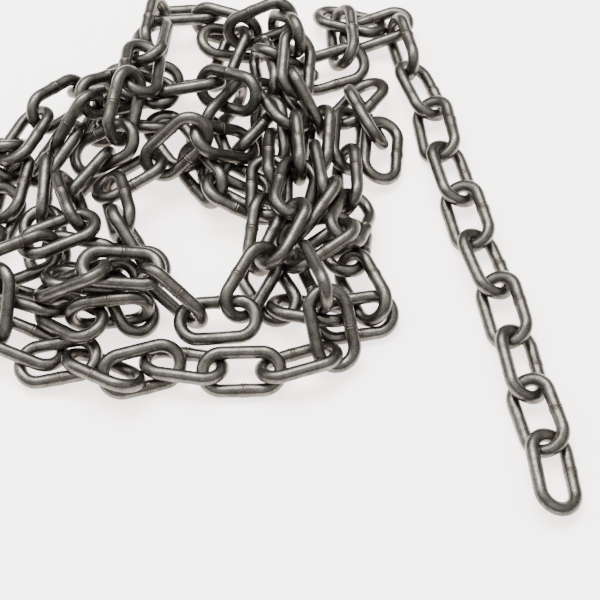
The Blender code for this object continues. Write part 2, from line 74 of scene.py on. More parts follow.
# link by link from the tail: near crown, far crown, roll. x and y of a crown as
# seen on readHeight from the eye, then its true height; the roll in degrees
# raises the left leg, looking along the chain
layRows = [
    # the tail, from its free end
    (72.5, -72.6, 4.0, 69.8, -49.0, 4.2, 30),
    (70.5, -54.0, 6.0, 66.2, -31.6, 6.0, -49),
    (67.0, -36.2, 6.0, 63.6, -14.2, 6.0, 38),
    (63.2, -18.3, 6.0, 60.0, 4.4, 6.0, -49),
    (60.7, 0.0, 6.0, 54.0, 21.2, 6.0, 42),
    (54.8, 16.8, 6.0, 50.9, 39.5, 6.0, -49),
    (51.7, 34.8, 6.0, 46.5, 56.8, 6.0, 40),
    (46.1, 52.3, 6.0, 43.8, 75.2, 6.0, -49),
    (45.0, 69.7, 6.0, 37.0, 92.4, 7.0, 40),
    (37.6, 87.3, 5.0, 32.8, 113.6, 10.0, -80),
    # the top right
    (37.2, 113.5, 6.0, 16.0, 104.4, 5.0, -10),
    (28.0, 110.3, 5.0, 7.2, 116.0, 5.0, 23),
    (13.8, 117.6, 10.0, 15.4, 93.0, 6.0, 67),
    (23.3, 95.6, 6.0, 1.1, 89.8, 6.0, -22),
    (7.7, 91.0, 4.0, -15.0, 91.0, 12.0, 28),
    (-15.5, 104.5, 7.0, -14.5, 82.0, 7.0, 63),
    # down to the ring
    (-17.5, 79.0, 9.0, 4.5, 63.5, 9.0, -45),
    (0.0, 66.0, 10.0, -1.0, 43.0, 10.0, -70),
    (1.4, 47.0, 11.0, -5.6, 24.3, 10.0, 40),
    (0.0, 30.5, 15.0, -12.3, 3.0, 4.5, 50),
    (-8.3, 8.9, 8.0, -22.0, -13.4, 3.5, -42),
    # the ring's lower side
    (-14.3, -11.2, 6.0, -35.2, -11.7, 6.0, -30),
    (-30.5, -10.5, 6.0, -48.0, 6.8, 9.0, -80),
    (-44.3, 7.5, 9.5, -65.7, 8.5, 9.0, -30),
    # the left, low
    (-58.5, 4.5, 9.0, -80.5, 5.5, 4.0, 5),
    (-79.0, 3.5, 4.0, -56.0, 2.0, 5.0, -25),
    (-48.0, 10.0, 4.0, -47.0, -10.0, 8.0, 10),
    (-45.2, -8.2, 5.0, -69.0, -10.2, 5.0, -30),
    (-56.5, -16.2, 8.0, -75.0, -4.0, 3.0, 5),
    (-71.0, -7.0, 5.0, -92.0, 0.0, 5.0, 40),
    # past the left edge
    (-90.0, 0.0, 3.0, -111.0, 8.0, 3.0, -10),
    (-108.0, 4.0, 4.0, -114.0, 26.0, 4.0, 40),
    (-114.0, 21.0, 4.0, -93.0, 20.0, 3.5, -20),
    (-99.3, 17.0, 5.0, -95.2, 38.7, 6.0, 45),
    (-93.0, 29.0, 5.0, -88.0, 49.0, 6.0, -75),
    (-88.0, 46.0, 3.0, -110.0, 56.0, 3.0, 20),
    (-114.0, 60.0, 5.0, -92.5, 54.0, 7.0, -30),
    # the upper left
    (-99.0, 50.0, 8.0, -85.5, 68.0, 7.0, -45),
    (-90.3, 66.2, 6.0, -72.7, 79.3, 6.0, 32),
    (-76.3, 78.7, 5.0, -54.0, 82.7, 5.0, -26),
    (-38.0, 81.0, 4.0, -59.0, 79.0, 4.0, -40),
    (-64.5, 83.0, 4.0, -67.6, 61.5, 4.0, 40),
    (-64.5, 69.2, 4.5, -42.0, 67.5, 7.0, -13),
    # middle, low
    (-43.0, 69.0, 3.0, -32.0, 48.0, 2.6, 8),
    (-31.0, 52.5, 4.2, -20.5, 33.0, 4.2, 22),
    (-24.0, 38.5, 6.0, -3.0, 29.0, 5.0, -42),
    (-8.0, 32.0, 2.6, -25.0, 48.5, 2.6, 20),
    (-28.0, 47.5, 2.6, -33.0, 68.0, 2.6, -20),
    (-31.0, 67.0, 5.0, -10.0, 79.0, 9.0, 20),
    # the crest
    (-12.0, 77.8, 15.0, -34.1, 76.8, 11.0, -38),
    (-28.6, 87.6, 13.0, -49.0, 81.0, 12.0, 10),
    (-45.3, 77.5, 9.0, -64.7, 89.2, 11.0, -38),
    (-53.0, 86.5, 10.0, -71.0, 66.5, 7.5, -45),
    (-71.8, 77.0, 13.0, -77.8, 50.0, 5.0, -45),
    (-72.0, 61.5, 9.0, -87.3, 45.3, 8.0, 40),
    (-83.5, 53.5, 14.0, -79.0, 26.0, 5.0, 80),
    # the left, low
    (-83.3, 28.8, 4.0, -76.5, 8.0, 4.0, -30),
    (-77.5, 12.0, 3.5, -57.5, 13.0, 3.0, 30),
    (-65.0, 11.5, 2.1, -45.5, 7.0, 2.1, 0),
    (-46.5, 8.5, 4.0, -59.5, 24.0, 6.0, 12),
    (-56.0, 17.5, 7.0, -63.0, 41.0, 9.0, -75),
    # the ring's upper side
    (-65.0, 33.0, 9.0, -46.8, 47.5, 9.0, -30),
    (-51.5, 44.5, 6.0, -33.3, 58.5, 10.0, 50),
    (-36.3, 58.5, 11.0, -15.9, 59.5, 11.0, -70),
    (-16.5, 55.5, 6.6, -16.0, 77.5, 6.6, -60),
    (-13.0, 72.5, 9.0, -8.2, 52.8, 8.0, 25),
    (-7.0, 61.3, 8.0, -9.0, 41.5, 8.0, -80),
    (-9.0, 46.8, 6.0, -8.7, 26.2, 6.0, -28),
    # the ring's right side
    (-9.3, 33.3, 11.0, -12.0, 10.2, 6.0, -56),
    (-17.0, 8.0, 4.0, -4.0, -13.0, 3.0, 30),
    (-7.2, -5.8, 4.0, 14.5, -9.2, 4.0, -30),
    (5.0, -11.5, 5.0, 27.3, -7.8, 4.0, 35),
    (22.5, -7.0, 5.0, 12.2, 12.0, 7.0, -50),
    # right of the ring
    (13.5, 7.3, 5.0, 13.8, 27.0, 4.0, 30),
    (16.3, 22.0, 2.6, -5.0, 20.0, 2.6, 0),
    (-0.5, 20.5, 8.0, 6.5, 40.5, 9.0, -50),
    (3.5, 34.5, 14.0, 1.5, 51.5, 6.0, 40),
    (5.0, 47.0, 4.0, 7.0, 68.0, 6.0, -30),
    # the top
    (5.5, 66.0, 6.0, -5.5, 84.0, 7.0, 40),
    (-4.5, 78.0, 11.0, -3.3, 101.0, 11.0, 0),
    (-3.0, 97.0, 8.0, -9.0, 115.0, 4.0, 60),
    (-3.0, 114.6, 8.0, -22.0, 102.2, 9.0, -25),
    (-20.0, 107.0, 8.0, -29.0, 82.0, 7.0, 40),
    (-35.6, 101.2, 5.0, -13.3, 99.4, 5.0, -30),
    (-13.4, 106.0, 6.0, -36.0, 114.6, 5.0, 40),
    (-28.3, 114.6, 4.0, -50.5, 115.5, 4.0, -3),
    (-49.8, 121.0, 9.0, -49.4, 98.0, 6.0, -60),
    (-52.5, 111.5, 4.0, -54.5, 89.5, 4.0, 10),
    (-50.5, 99.5, 13.0, -52.5, 79.0, 15.0, 5),
    # the left slope
    (-60.0, 85.0, 17.0, -58.5, 54.5, 7.0, -46),
    (-52.5, 58.5, 5.0, -73.5, 49.5, 5.0, -33),
    (-60.5, 52.5, 8.0, -72.0, 34.5, 9.0, 80),
    (-75.5, 41.7, 6.0, -69.0, 19.5, 8.0, -55),
    (-63.8, 22.8, 8.0, -85.0, 12.7, 8.0, 20),
    (-73.8, 15.3, 7.5, -94.4, 4.9, 6.0, -45),
    (-90.3, 6.6, 10.0, -95.0, -15.8, 6.0, 30),
    # the front row
    (-93.0, -15.0, 5.0, -70.0, -23.5, 5.0, -35),
    (-83.0, -27.5, 4.0, -61.1, -20.4, 5.0, -3),
    (-66.5, -22.2, 8.0, -47.6, -34.4, 4.0, -36),
    (-58.1, -28.5, 6.0, -35.8, -23.3, 6.0, 68),
    (-46.0, -24.5, 5.0, -23.4, -27.6, 5.0, -27),
    (-28.6, -28.9, 5.0, -6.4, -28.1, 5.0, 50),
    (-10.8, -28.7, 5.0, 10.8, -21.3, 5.0, -27),
    # the right slope
    (12.0, -26.0, 4.0, 8.0, 0.0, 9.0, 10),
    (7.7, -5.5, 9.0, -1.5, 15.5, 9.0, 80),
    (-4.0, 13.2, 9.0, 14.8, 23.1, 9.0, -12),
    (8.0, 17.5, 12.0, 11.5, 34.7, 5.0, 50),
    (12.1, 30.2, 5.0, 13.8, 52.0, 6.0, -50),
    (13.3, 47.3, 5.0, 15.0, 72.4, 9.0, 52),
    (14.6, 66.0, 5.0, 25.0, 83.3, 5.0, -30),
    # the other free end
    (16.8, 80.5, 9.0, 26.6, 58.5, 3.5, -70),
    (27.5, 67.8, 7.0, 24.0, 42.7, 3.0, 0),
]
leaningLinks = [64]    # counted from 0, hidden, leans on the floor on its lower leg

# how long each stage of letting the chain down takes
passes = {
    "order": 200,
    "refit": 150,
    "grow": 160,
    "settle": 250,
    "rest": 600,
}

wireRadius = link["wire"] / 2
crownRadius = link["insideWidth"] / 2 + wireRadius
halfLeg = link["insideLength"] / 2 + wireRadius - crownRadius
reach = halfLeg + crownRadius

# Where each link is held to its reading: both crowns and both legs
holdSpots = ((-reach, 0.0), (reach, 0.0), (0.0, -crownRadius), (0.0, crownRadius))

# A link that leans on its lower leg rests there on one flat of its six-sided
# wire, whose section the bend into the crowns narrows a little
narrowed = math.cos(math.pi / lay["crownSteps"] / 4)
flatTilt = math.atan(narrowed * math.tan(math.radians(30)))
leanRise = round(math.cos(flatTilt), 9)
leanSpread = round(math.sin(flatTilt), 9)
# It goes down as far as the lower edges of the other six-sided wires do
leanDrop = 0.15
leanHeight = round((wireRadius * narrowed + crownRadius) * math.cos(flatTilt) - leanDrop, 7)
floorLevel = wireRadius + 0.06

# How readily a link turns about its length, across its legs and in its plane
turnEase = (25.0, 72.0, 96.0)


def dot(a, b):
    return a[..., 0] * b[..., 0] + a[..., 1] * b[..., 1] + a[..., 2] * b[..., 2]


def cross(a, b):
    return np.stack([a[..., 1] * b[..., 2] - a[..., 2] * b[..., 1],
                     a[..., 2] * b[..., 0] - a[..., 0] * b[..., 2],
                     a[..., 0] * b[..., 1] - a[..., 1] * b[..., 0]], axis=-1)


def unit(a):
    return a / np.sqrt(dot(a, a))[..., None]


def linkOutline(steps):
    # The wire's axis: two half circles joined by straight legs
    points = []
    for end in (1, -1):
        for k in range(steps + 1):
            turn = math.pi * (k / steps - 0.5)
            along = halfLeg + crownRadius * math.cos(turn)
            points.append((end * along, end * crownRadius * math.sin(turn)))
    return np.round(np.array(points), 9)


def readLay(rows):
    # Turns seen places and heights into centres, long axes and leg directions.
    # No crown is lower than the roll of its link allows on the floor
    rows = np.array(rows, float)
    eye = np.array(lay["eye"])
    roll = np.radians(rows[:, 6])
    level, steep = np.round(np.cos(roll), 9), np.round(np.sin(roll), 9)
    lowest = floorLevel + crownRadius * np.abs(steep)
    ends = []
    for k in (0, 3):
        seen = rows[:, k:k + 3].copy()
        height = np.maximum(seen[:, 2], lowest)
        seen[:, 2] = lay["readHeight"]
        share = (height - eye[2]) / (lay["readHeight"] - eye[2])
        ends.append(eye + (seen - eye) * share[:, None])
    centre = (ends[0] + ends[1]) / 2
    axis = unit(ends[1] - ends[0])
    left = unit(cross(np.array([0.0, 0.0, 1.0]), axis))
    side = level[:, None] * left + steep[:, None] * cross(axis, left)
    return np.round(centre, 7), np.round(axis, 9), np.round(unit(side), 9)


def closest(p, u, q, v):
    # Nearest points of the segments p to p+u and q to q+v, as shares of each
    w = p - q
    a = dot(u, u)
    b = dot(u, v)
    c = dot(v, v)
    d = dot(u, w)
    e = dot(v, w)
    den = a * c - b * b
    s = np.where(den > 1e-9, (b * e - c * d) / np.where(den > 1e-9, den, 1.0), 0.0)
    s = np.minimum(np.maximum(s, 0.0), 1.0)
    t = np.minimum(np.maximum((b * s + e) / c, 0.0), 1.0)
    s = np.minimum(np.maximum((b * t - d) / a, 0.0), 1.0)
    return s, t


class Heap:
    # Rigid links, each with a centre, a long axis and a direction across its legs

    def __init__(self, rows, leaning):
        self.centre, self.axis, self.side = readLay(rows)
        self.count = len(self.centre)
        self.leaning = leaning
        self.outline = linkOutline(lay["crownSteps"])
        step = np.roll(self.outline, -1, axis=0) - self.outline
        self.halfStep = np.sqrt(step[:, 0] ** 2 + step[:, 1] ** 2) / 2
        self.mate = np.arange(self.count) ^ 1
        self.above = np.zeros((self.count, self.count))
        self.passes = 0
        self.sight = []
        for along, across in holdSpots:
            spot = self.centre + along * self.axis + across * self.side
            self.sight.append(np.round(unit(spot - np.array(lay["eye"])), 12))

    def wirePoints(self):
        return (self.centre[:, None] + self.outline[None, :, 0, None] * self.axis[:, None]
                + self.outline[None, :, 1, None] * self.side[:, None])

    def findNear(self, margin):
        i, j = np.triu_indices(self.count, 1)
        d = self.centre[i] - self.centre[j]
        near = dot(d, d) < (2 * reach + margin) ** 2
        i, j = i[near], j[near]
        pts = self.wirePoints()
        middle = (pts + np.roll(pts, -1, axis=1)) / 2
        gap = middle[i][:, :, None] - middle[j][:, None]
        limit = self.halfStep[None, :, None] + self.halfStep[None, None] + margin
        pair, a, b = np.nonzero(dot(gap, gap) < limit * limit)
        self.near = (i[pair], a, j[pair], b)

    def contacts(self, spacing):
        if self.passes % 8 == 0:
            self.findNear(spacing + 3.0)
        self.passes += 1
        i, a, j, b = self.near
        pts = self.wirePoints()
        after = np.roll(pts, -1, axis=1)
        p = pts[i, a]
        q = pts[j, b]
        u = after[i, a] - p
        v = after[j, b] - q
        s, t = closest(p, u, q, v)
        x = p + s[:, None] * u
        y = q + t[:, None] * v
        d = x - y
        gap = np.sqrt(dot(d, d))
        keep = gap < spacing
        return i[keep], j[keep], x[keep], y[keep], d[keep], gap[keep]

    def ease(self, i, arm, way):
        # How far a link gives at the end of an arm for one unit of push
        lever = cross(arm, way)
        across = cross(self.axis[i], self.side[i])
        return (1.0 + dot(lever, self.axis[i]) ** 2 / turnEase[0]
                + dot(lever, self.side[i]) ** 2 / turnEase[1]
                + dot(lever, across) ** 2 / turnEase[2])

    def sumUp(self, i, vectors):
        columns = [np.bincount(i, weights=vectors[:, k], minlength=self.count) for k in range(3)]
        return np.stack(columns, axis=1)

    def apply(self, groups, share):
        move = np.zeros((self.count, 3))
        turn = np.zeros((self.count, 3))
        number = np.zeros(self.count)
        for i, arm, push in groups:
            lever = cross(arm, push)
            u, s = self.axis[i], self.side[i]
            n = cross(u, s)
            spin = (dot(lever, u)[:, None] * u / turnEase[0] + dot(lever, s)[:, None] * s / turnEase[1]
                    + dot(lever, n)[:, None] * n / turnEase[2])
            move += self.sumUp(i, push)
            turn += self.sumUp(i, spin)
            number += np.bincount(i, minlength=self.count)
        number = np.maximum(number, 1.0)[:, None]
        move = share * move / number
        turn = share * turn / number
        self.centre = self.centre + move
        self.axis = self.axis + cross(turn, self.axis)
        self.side = self.side + cross(turn, self.side)
        self.centre[self.leaning, 2] = leanHeight
        self.axis[self.leaning, 2] = 0.0
        self.centre = np.round(self.centre, 7)
        self.axis = unit(self.axis)
        self.side = self.side - dot(self.side, self.axis)[:, None] * self.axis
        self.side = unit(self.side)
        self.lean()
        self.side = np.round(self.side, 9)
        self.axis = np.round(self.axis, 9)

    def lean(self):
        # Turns a leaning link about its level length until the flat is down
        axis = self.axis[self.leaning]
        side = self.side[self.leaning]
        left = cross(np.array([0.0, 0.0, 1.0]), axis)
        level = np.where(dot(side, left) < 0, -leanSpread, leanSpread)
        self.side[self.leaning] = level[:, None] * left
        self.side[self.leaning, 2] = np.where(side[:, 2] < 0, -leanRise, leanRise)

    def pairPush(self, i, j, x, y, way, amount, share):
        # Moves two links apart by an amount along a way, at points x and y
        armI = x - self.centre[i]
        armJ = y - self.centre[j]
        size = amount / (self.ease(i, armI, way) + self.ease(j, armJ, way))
        push = size[:, None] * way
        self.apply([(i, armI, push), (j, armJ, -push)], share)

    def partWires(self, loose, bearing):
        # Parts wires that lie too close, and lifts what is below the floor
        i, j, x, y, d, gap = self.contacts(max(loose, bearing))
        wanted = np.where(self.mate[i] == j, bearing, loose)
        keep = gap < wanted
        i, j, x, y, d, gap, wanted = i[keep], j[keep], x[keep], y[keep], d[keep], gap[keep], wanted[keep]
        way = d / np.maximum(gap, 1e-6)[:, None]
        armI = x - self.centre[i]
        armJ = y - self.centre[j]
        size = (wanted - gap) / (self.ease(i, armI, way) + self.ease(j, armJ, way))
        push = size[:, None] * way
        pts = self.wirePoints().reshape(-1, 3)
        owner = np.repeat(np.arange(self.count), len(self.outline))
        low = pts[:, 2] < floorLevel
        k = owner[low]
        armK = pts[low] - self.centre[k]
        up = np.zeros_like(armK)
        up[:, 2] = 1.0
        lift = (floorLevel - pts[low][:, 2]) / self.ease(k, armK, up)
        self.apply([(i, armI, push), (j, armJ, -push), (k, armK, lift[:, None] * up)], 1.3)

    def closeBearings(self, bearing):
        # Draws the two links of each pair together until their wires bear
        i, j, x, y, d, gap = self.contacts(link["wire"] + 0.9)
        keep = self.mate[i] == j
        i, j, x, y, d, gap = i[keep], j[keep], x[keep], y[keep], d[keep], gap[keep]
        order = np.lexsort((gap, i))
        i, j, x, y, d, gap = i[order], j[order], x[order], y[order], d[order], gap[order]
        first = np.ones(len(i), bool)
        first[1:] = i[1:] != i[:-1]
        first &= gap > bearing
        i, j, x, y, d, gap = i[first], j[first], x[first], y[first], d[first], gap[first]
        way = d / np.maximum(gap, 1e-6)[:, None]
        self.pairPush(i, j, x, y, way, bearing - gap, 0.5)

    def holdToSight(self, share):
        eye = np.array(lay["eye"])
        groups = []
        for (along, across), ray in zip(holdSpots, self.sight):
            arm = along * self.axis + across * self.side
            spot = self.centre + arm - eye
            off = dot(spot, ray)[:, None] * ray - spot
            far = np.maximum(np.sqrt(dot(off, off)), 1e-9)
            way = off / far[:, None]
            i = np.arange(self.count)
            size = share * far / self.ease(i, arm, way)
            groups.append((i, arm, size[:, None] * way))
        self.apply(groups, 1.0)

    def joinFollowers(self, span, slack, share):
        # Brings the middle line of each link to that of the next, end to end
        i = np.arange(self.count - 1)
        j = i + 1
        length = span[1] - span[0]
        p = self.centre[i] + span[0] * self.axis[i]
        q = self.centre[j] - span[0] * self.axis[j]
        s, t = closest(p, length * self.axis[i], q, -length * self.axis[j])
        x = p + s[:, None] * length * self.axis[i]
        y = q - t[:, None] * length * self.axis[j]
        d = x - y
        gap = np.sqrt(dot(d, d))
        far = gap > slack
        i, j, x, y, d, gap = i[far], j[far], x[far], y[far], d[far], gap[far]
        self.pairPush(i, j, x, y, d / gap[:, None], share * (slack - gap), 1.0)

    def orderCrossings(self, margin, share):
        # Where two links cross in plan, one goes over the other; followers
        # go once over and once under, so that they are linked
        i, j = np.triu_indices(self.count, 1)
        d = self.centre[i] - self.centre[j]
        near = d[:, 0] ** 2 + d[:, 1] ** 2 < (2 * reach) ** 2
        i, j = i[near], j[near]
        pts = self.wirePoints()
        step = np.roll(pts, -1, axis=1) - pts
        p, u = pts[i][:, :, None], step[i][:, :, None]
        q, v = pts[j][:, None], step[j][:, None]
        den = u[..., 0] * v[..., 1] - u[..., 1] * v[..., 0]
        wx = q[..., 0] - p[..., 0]
        wy = q[..., 1] - p[..., 1]
        safe = np.where(np.abs(den) > 1e-12, den, 1.0)
        s = (wx * v[..., 1] - wy * v[..., 0]) / safe
        t = (wx * u[..., 1] - wy * u[..., 0]) / safe
        hit = (np.abs(den) > 1e-12) & (s >= 0) & (s < 1) & (t >= 0) & (t < 1)
        pair, a, b = np.nonzero(hit)
        i, j = i[pair], j[pair]
        s, t, den = s[hit], t[hit], den[hit]
        x = pts[i, a] + s[:, None] * step[i, a]
        y = pts[j, b] + t[:, None] * step[j, b]
        rise = x[:, 2] - y[:, 2]
        over = np.where(rise >= 0, 1.0, -1.0)
        kind, which = np.unique(i * self.count + j, return_inverse=True)
        total = np.bincount(which, weights=rise)
        first, second = kind // self.count, kind % self.count
        new = self.above[first, second] == 0
        self.above[first[new], second[new]] = np.where(total[new] >= 0, 1.0, -1.0)
        linked = np.bincount(which, weights=np.where(den * rise > 0, 0.5, -0.5))[which]
        follows = j == i + 1
        order = np.lexsort((np.abs(rise), which))
        lead = np.zeros(len(i), bool)
        starts = np.ones(len(order), bool)
        starts[1:] = which[order][1:] != which[order][:-1]
        lead[order[starts]] = True
        flip = follows & lead & (np.abs(linked) != 1)
        over = np.where(follows, np.where(flip, -over, over), self.above[i, j])
        amiss = np.where(follows, np.abs(linked) != 1, np.abs(linked) > 0.5)
        short = margin - over * rise
        for push in (short > 0, (short > 0) & amiss):
            way = np.zeros((int(push.sum()), 3))
            way[:, 2] = over[push]
            self.pairPush(i[push], j[push], x[push], y[push], way, share * short[push], 1.0)

    def liftToFloor(self):
        low = np.minimum(self.wirePoints()[..., 2].min(axis=1) - wireRadius, 0)
        self.centre[:, 2] -= low * 0.5

    def sink(self, drop):
        self.centre[:, 2] -= drop


def layHeap(rows, leaning):
    heap = Heap(rows, leaning)
    for k in range(passes["order"]):
        heap.joinFollowers((2.0, 9.0), 2.5, 0.4)
        heap.holdToSight(0.04)
        heap.orderCrossings(2.5 if k > passes["order"] // 3 else 1.0, 1.0)
        heap.liftToFloor()
    for k in range(passes["refit"]):
        heap.joinFollowers((2.0, 9.0), 3.0, 0.3)
        heap.holdToSight(0.12)
        heap.orderCrossings(3.0, 1.0)
        heap.liftToFloor()
    for k in range(passes["grow"]):
        spacing = 1.0 + (lay["looseSpacing"] - 1.0) * min(k / 120, 1)
        heap.joinFollowers((2.0, 9.0), 3.0, 0.2)
        heap.holdToSight(lay["sightShare"])
        if k < passes["grow"] // 2:
            heap.orderCrossings(2.5, 0.5)
        heap.sink(0.01)
        heap.partWires(spacing, min(spacing, lay["bearingSpacing"]))
    for k in range(passes["settle"]):
        heap.sink(0.02)
        heap.holdToSight(lay["sightShare"] * 0.7)
        heap.closeBearings(lay["bearingSpacing"])
        heap.partWires(lay["looseSpacing"], lay["bearingSpacing"])
        heap.partWires(lay["looseSpacing"], lay["bearingSpacing"])
    for k in range(passes["rest"]):
        if k < passes["rest"] - 60:
            heap.closeBearings(lay["bearingSpacing"])
        heap.partWires(lay["looseSpacing"], lay["bearingSpacing"])
    return heap


# what the camera, the lights and the floor are
studio = {
    "downAngle": 57.0,
    "focalPixels": 1364.0,
    "imagePixels": 600.0,
    "floorHex": "#fbfaf8",
    "glowHex": "#fff3ec",
    "floorGlow": 2.6,       # the paper is lit through from below as well
    "ceilingHex": "#ffffff",
    "wallHex": "#8b8a88",
    "skyStrength": 1.9,
    "floorWidth": 6.0,
    "wallLevel": 0.35,      # share of the way up at which the walls' grey starts to whiten
    "ceilingLevel": 0.80,
}

softboxes = {
    "softboxAbove": {"spot": (-0.15, 0.35, 0.9), "size": (0.8, 0.5), "watts": 21.0},
    "softboxLeft": {"spot": (-0.9, 0.1, 0.55), "size": (0.5, 0.7), "watts": 3.0},
}

# the drawn and welded wire, in millimetres
wire = {
    "sides": 24,
    "crownSegments": 20,
    "legSegments": 10,
    "weldSegments": 26,
    "weldReach": 2.4,
    "swell": 0.16,          # how far the upset steel stands out round the joint
    "swellLength": 1.25,
    "fin": 0.17,            # the trimmed fin left right on the joint
    "finWidth": 0.16,
    "finOffset": 0.42,
    "pinch": 0.18,          # the line where the two ends met
    "pinchWidth": 0.13,
    "drift": 0.8,           # how far a joint sits from the middle of its leg
    "uneven": 0.035,        # forming marks along the wire
}

# links whose joint is on the left leg, looking along the chain from the tail
weldOnLeft = {13, 14, 39, 64, 97, 101, 103, 112}


def hexToLinear(text):
    values = [int(text[k:k + 2], 16) / 255 for k in (1, 3, 5)]
    return [v / 12.92 if v <= 0.04045 else ((v + 0.055) / 1.055) ** 2.4 for v in values]


def addNode(tree, kind, settings=None, values=None, links=None):
    # settings are the node's own options, values its unlinked sockets,
    # links pairs of an input and the output that feeds it
    node = tree.nodes.new(kind)
    for name, value in (settings or {}).items():
        setattr(node, name, value)
    for name, value in (values or {}).items():
        node.inputs[name].default_value = value
    for name, source in (links or {}).items():
        tree.links.new(source, node.inputs[name])
    return node


def newMaterial(name):
    material = bpy.data.materials.new(name)
    material.use_nodes = True
    tree = material.node_tree
    return material, tree, tree.nodes["Principled BSDF"]


def makeDrawnSteel():
    # Self-coloured mild steel wire, drawn, bent and butt-welded, then barrelled
    # in the reel: a dull grey metal, finely pitted, brighter where links rub
    finish = {
        "deepHex": "#252421",
        "faceHex": "#6c6963",
        "rubbedHex": "#aaa59b",
        "weldHex": "#4b443c",
        "cloudSize": 3.2,       # mm, patches of thicker and thinner scale
        "grainSize": 0.36,      # mm, pits; the real ones are finer, these show
        "roughLow": 0.22,
        "roughHigh": 0.44,
        "bumpDepth": 0.06,      # mm
        "grainShare": 0.55,     # how much of the mottling is grain, the rest is cloud
        "deepAt": 0.30,         # where on the mottling the two greys lie
        "faceAt": 0.66,
    }
    steel, tree, shader = newMaterial("drawnSteelWire")
    place = addNode(tree, "ShaderNodeTexCoord")
    cloud = addNode(tree, "ShaderNodeTexNoise",
                    values={"Scale": 1 / (finish["cloudSize"] * mm), "Detail": 3.0},
                    links={"Vector": place.outputs["Object"]})
    grain = addNode(tree, "ShaderNodeTexNoise",
                    values={"Scale": 1 / (finish["grainSize"] * mm), "Detail": 2.0, "Roughness": 0.6},
                    links={"Vector": place.outputs["Object"]})
    weld = addNode(tree, "ShaderNodeAttribute", {"attribute_name": "weld"})
    rub = addNode(tree, "ShaderNodeAttribute", {"attribute_name": "rub"})

    tone = addNode(tree, "ShaderNodeMath", {"operation": "MULTIPLY"}, {1: finish["grainShare"]},
                   {0: grain.outputs["Fac"]})
    both = addNode(tree, "ShaderNodeMath", {"operation": "MULTIPLY_ADD"}, {1: 1 - finish["grainShare"]},
                   {0: cloud.outputs["Fac"], 2: tone.outputs[0]})
    ramp = addNode(tree, "ShaderNodeValToRGB", links={"Fac": both.outputs[0]})
    stops = ramp.color_ramp.elements
    stops[0].position, stops[0].color = finish["deepAt"], (*hexToLinear(finish["deepHex"]), 1)
    stops[1].position, stops[1].color = finish["faceAt"], (*hexToLinear(finish["faceHex"]), 1)
    burnt = addNode(tree, "ShaderNodeMixRGB", values={"Color2": (*hexToLinear(finish["weldHex"]), 1)},
                    links={"Fac": weld.outputs["Fac"], "Color1": ramp.outputs["Color"]})
    shown = addNode(tree, "ShaderNodeMixRGB", values={"Color2": (*hexToLinear(finish["rubbedHex"]), 1)},
                    links={"Fac": rub.outputs["Fac"], "Color1": burnt.outputs["Color"]})
    rough = addNode(tree, "ShaderNodeMapRange", values={"From Min": 0.3, "From Max": 0.7,
                    "To Min": finish["roughHigh"], "To Max": finish["roughLow"]},
                    links={"Value": both.outputs[0]})
    bump = addNode(tree, "ShaderNodeBump",
                   values={"Distance": finish["bumpDepth"] * mm, "Strength": 1.0},
                   links={"Height": both.outputs[0]})
    tree.links.new(shown.outputs["Color"], shader.inputs["Base Color"])
    tree.links.new(rough.outputs["Result"], shader.inputs["Roughness"])
    tree.links.new(bump.outputs["Normal"], shader.inputs["Normal"])
    shader.inputs["Metallic"].default_value = 1.0
    return steel


def stations(weldAt):
    # Distances along the wire, close together at the joint. The wire starts
    # at the middle of the right-hand crown and runs along the left leg first
    crownLength = math.pi * crownRadius
    legLength = 2 * halfLeg
    marks = [crownLength * k / wire["crownSegments"] for k in range(wire["crownSegments"])]
    reachIn = wire["weldReach"]
    before, after = weldAt - reachIn, legLength - weldAt - reachIn
    half = wire["legSegments"] // 2
    marks += [crownLength + before * k / half for k in range(half)]
    marks += [crownLength + before + 2 * reachIn * k / wire["weldSegments"]
              for k in range(wire["weldSegments"])]
    marks += [crownLength + before + 2 * reachIn + after * k / half for k in range(half)]
    marks += [crownLength + legLength + crownLength * k / wire["crownSegments"]
              for k in range(wire["crownSegments"])]
    marks += [2 * crownLength + legLength + legLength * k / wire["legSegments"]
              for k in range(wire["legSegments"])]
    return np.array(marks)


def wireLine(marks):
    # Middle line and outward direction at each station
    crownLength = math.pi * crownRadius
    legLength = 2 * halfLeg
    spots, outs = [], []
    for d in marks:
        if d < crownLength:
            turn = d / crownRadius - math.pi / 2
            out = (math.cos(turn), math.sin(turn))
            spots.append((halfLeg + crownRadius * out[0], crownRadius * out[1]))
        elif d < crownLength + legLength:
            out = (0.0, 1.0)
            spots.append((halfLeg - (d - crownLength), crownRadius))
        elif d < 2 * crownLength + legLength:
            turn = (d - crownLength - legLength) / crownRadius + math.pi / 2
            out = (math.cos(turn), math.sin(turn))
            spots.append((-halfLeg + crownRadius * out[0], crownRadius * out[1]))
        else:
            out = (0.0, -1.0)
            spots.append((-halfLeg + (d - 2 * crownLength - legLength), -crownRadius))
        outs.append(out)
    return np.array(spots), np.array(outs)


def hump(distance, width):
    return np.exp(-(distance / width) ** 2)


